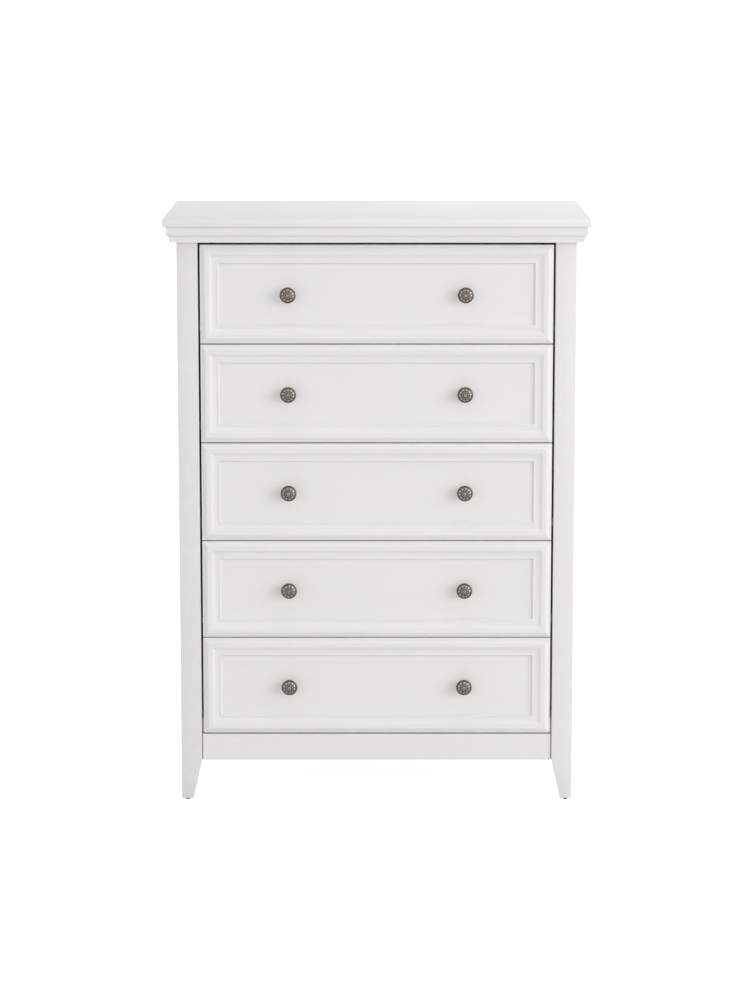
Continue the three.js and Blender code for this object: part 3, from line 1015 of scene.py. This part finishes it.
def build_runner(number, name, side, materials):
    """The drawer's half of a slide: a bent strip under the side, its screws and its rear roller."""
    body = f"drawer_{number}"
    low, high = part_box(f"{body}_side_{name}")
    face = low.x if side < 0 else high.x
    outer = face + side * RUNNER_SHEET
    shelf = outer + side * RUNNER_SHELF
    inward = face - side * RUNNER_LIP
    top = low.z + RUNNER_RISE
    outline = [
        (inward, low.z), (inward, low.z - RUNNER_SHEET), (outer, low.z - RUNNER_SHEET), (outer, top),
        (shelf, top), (shelf, top + RUNNER_SHEET), (face, top + RUNNER_SHEET), (face, low.z),
    ]
    start, end = low.y + RUNNER_START, high.y
    strip = rounded(prism(outline, start, end), f"{body}_runner_{name}", SHEET_ROUND, FINE_STRIPS)
    place(strip, materials["steel"], body)
    front_inset, rear_inset = RUNNER_SCREW_INSETS
    along = (start + front_inset, (start + end) / 2, end - rear_inset)
    spots = [(outer, y, low.z + RUNNER_SCREW_UP) for y in along]
    build_runner_screws(f"{body}_runner_screws_{name}", body, side, spots, materials)
    roller = DRAWER_ROLLER
    centre = (outer + side * roller["out"], end - roller["in"], low.z + roller["up"])
    build_roller(f"{body}_roller_{name}", body, side, centre, roller, materials)


def build_channel(number, name, side, materials):
    """The cabinet's half of a slide: a pressed channel with a roller at its front end."""
    node = f"slide_channel_{number}_{name}"
    low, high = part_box(node)
    web, lip = (low.x, high.x) if side < 0 else (high.x, low.x)
    inside = web - side * CHANNEL_SHEET
    outline = [
        (web, low.z), (lip, low.z), (lip, low.z + CHANNEL_SHEET), (inside, low.z + CHANNEL_SHEET),
        (inside, high.z - CHANNEL_SHEET), (lip, high.z - CHANNEL_SHEET), (lip, high.z), (web, high.z),
    ]
    mesh = rounded(prism(outline, low.y, high.y), node + "_pressed", SHEET_ROUND, FINE_STRIPS)
    place(mesh, materials["steel"], "carcass", node)
    roller = CABINET_ROLLER
    centre = (lip + side * roller["out"], low.y + roller["in"], low.z + roller["up"])
    build_roller(f"slide_roller_{number}_{name}", "carcass", side, centre, roller, materials)


def build_slides(number, materials):
    for name, side in SIDES:
        build_channel(number, name, side, materials)
        build_runner(number, name, side, materials)


# ---------------------------------------------------------------------------------------------
# Studio
# ---------------------------------------------------------------------------------------------

def build_camera():
    """A camera in front of the middle of the chest, pitched a little down."""
    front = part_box("front_post_left")[0].y
    data = bpy.data.cameras.new("camera")
    data.lens = CAMERA_LENS
    data.sensor_width = CAMERA_SENSOR
    data.shift_x, data.shift_y = CAMERA_SHIFT
    data.clip_end = CAMERA_REACH
    camera = bpy.data.objects.new("camera", data)
    camera.location = (0.0, front - CAMERA_DISTANCE, CAMERA_HEIGHT)
    camera.rotation_euler = (math.radians(90.0 - CAMERA_PITCH), 0.0, 0.0)
    bpy.context.scene.collection.objects.link(camera)
    bpy.context.scene.camera = camera


def build_light(name, setting):
    data = bpy.data.lights.new(name, "AREA")
    data.shape = "RECTANGLE"
    data.size, data.size_y = setting["size"]
    data.energy = setting["power"]
    data.color = setting["colour"]
    light = bpy.data.objects.new(name, data)
    light.location = setting["at"]
    direction = Vector(setting["to"]) - Vector(setting["at"])
    light.rotation_euler = direction.to_track_quat("-Z", "Y").to_euler()
    bpy.context.scene.collection.objects.link(light)


def build_floor(material):
    """A wide flat floor of plain tiles, which runs past the horizon."""
    bm = bmesh.new()
    places = [FLOOR_REACH * (2 * k / FLOOR_TILES - 1) for k in range(FLOOR_TILES + 1)]
    rows = [[bm.verts.new((x, y, 0.0)) for y in places] for x in places]
    for a, b in zip(rows, rows[1:]):
        for j in range(FLOOR_TILES):
            bm.faces.new((a[j], b[j], b[j + 1], a[j + 1]))
    mesh = finished_mesh(bm, "studio_floor")
    mesh.materials.append(material)
    floor = bpy.data.objects.new("studio_floor", mesh)
    bpy.context.scene.collection.objects.link(floor)


def ranged(tree, value, settings):
    """A Map Range node fed by a value, with the given sockets set."""
    node = tree.nodes.new("ShaderNodeMapRange")
    set_sockets(node, settings)
    tree.links.new(value, node.inputs["Value"])
    return node


def build_world():
    """White surroundings, brightest level with the eye and to the right, plain white where seen."""
    world = bpy.data.worlds.new("studio")
    world.use_nodes = True
    tree = world.node_tree
    background = tree.nodes["Background"]
    background.inputs["Color"].default_value = WHITE
    split = tree.nodes.new("ShaderNodeSeparateXYZ")
    tree.links.new(tree.nodes.new("ShaderNodeTexCoord").outputs["Generated"], split.inputs["Vector"])
    fade = zip(RAMP_SOCKETS, (0.0, WORLD_SHOULDER, WORLD_HORIZON, WORLD_ZENITH))
    upward = ranged(tree, split.outputs["Z"], fade)
    lean = zip(RAMP_SOCKETS, (-1.0, 1.0, 1.0 - WORLD_SIDE, 1.0 + WORLD_SIDE))
    sideways = ranged(tree, split.outputs["X"], lean)
    lit = tree.nodes.new("ShaderNodeMath")
    lit.operation = "MULTIPLY"
    tree.links.new(upward.outputs["Result"], lit.inputs[0])
    tree.links.new(sideways.outputs["Result"], lit.inputs[1])
    seen = tree.nodes.new("ShaderNodeLightPath").outputs["Is Camera Ray"]
    strength = ranged(tree, seen, (("To Max", WORLD_SEEN),))
    tree.links.new(lit.outputs["Value"], strength.inputs["To Min"])
    tree.links.new(strength.outputs["Result"], background.inputs["Strength"])
    bpy.context.scene.world = world


def build_studio(materials):
    build_camera()
    build_floor(materials["floor"])
    for name, setting in LIGHTS.items():
        build_light(name, setting)
    build_world()
    bpy.context.scene.view_settings.view_transform = "Standard"


# ---------------------------------------------------------------------------------------------
# Assembly
# ---------------------------------------------------------------------------------------------

def make_materials():
    return {
        "paint_x": paint("x"),
        "paint_y": paint("y"),
        # The posts and side panels take copies of the paint darkened by painted shade, the left more than
        # the right.
        "paint_left": paint("z", LEFT_PAINTED_SHADE),
        "paint_right": paint("z", RIGHT_PAINTED_SHADE),
        "wood_x": bare_wood("x"),
        "wood_y": bare_wood("y"),
        "hardboard": hardboard(),
        "steel": zinc_steel(),
        "pewter": pewter(),
        "nylon": nylon("white_nylon", NYLON_LIGHT, NYLON_DARK),
        "glide": nylon("black_glide", GLIDE_LIGHT, GLIDE_DARK),
        "floor": studio_floor(),
    }


def build_chest(materials):
    build_crown(materials)
    build_posts(materials)
    build_apron(materials)
    build_fixed_boards(materials)
    build_back_pins(materials)
    build_knobs(materials)
    for number in DRAWERS:
        build_front(number, materials)
        build_knob_screws(number, materials)
        build_box(number, materials)
        build_slides(number, materials)


finishes = make_materials()
build_studio(finishes)
build_chest(finishes)
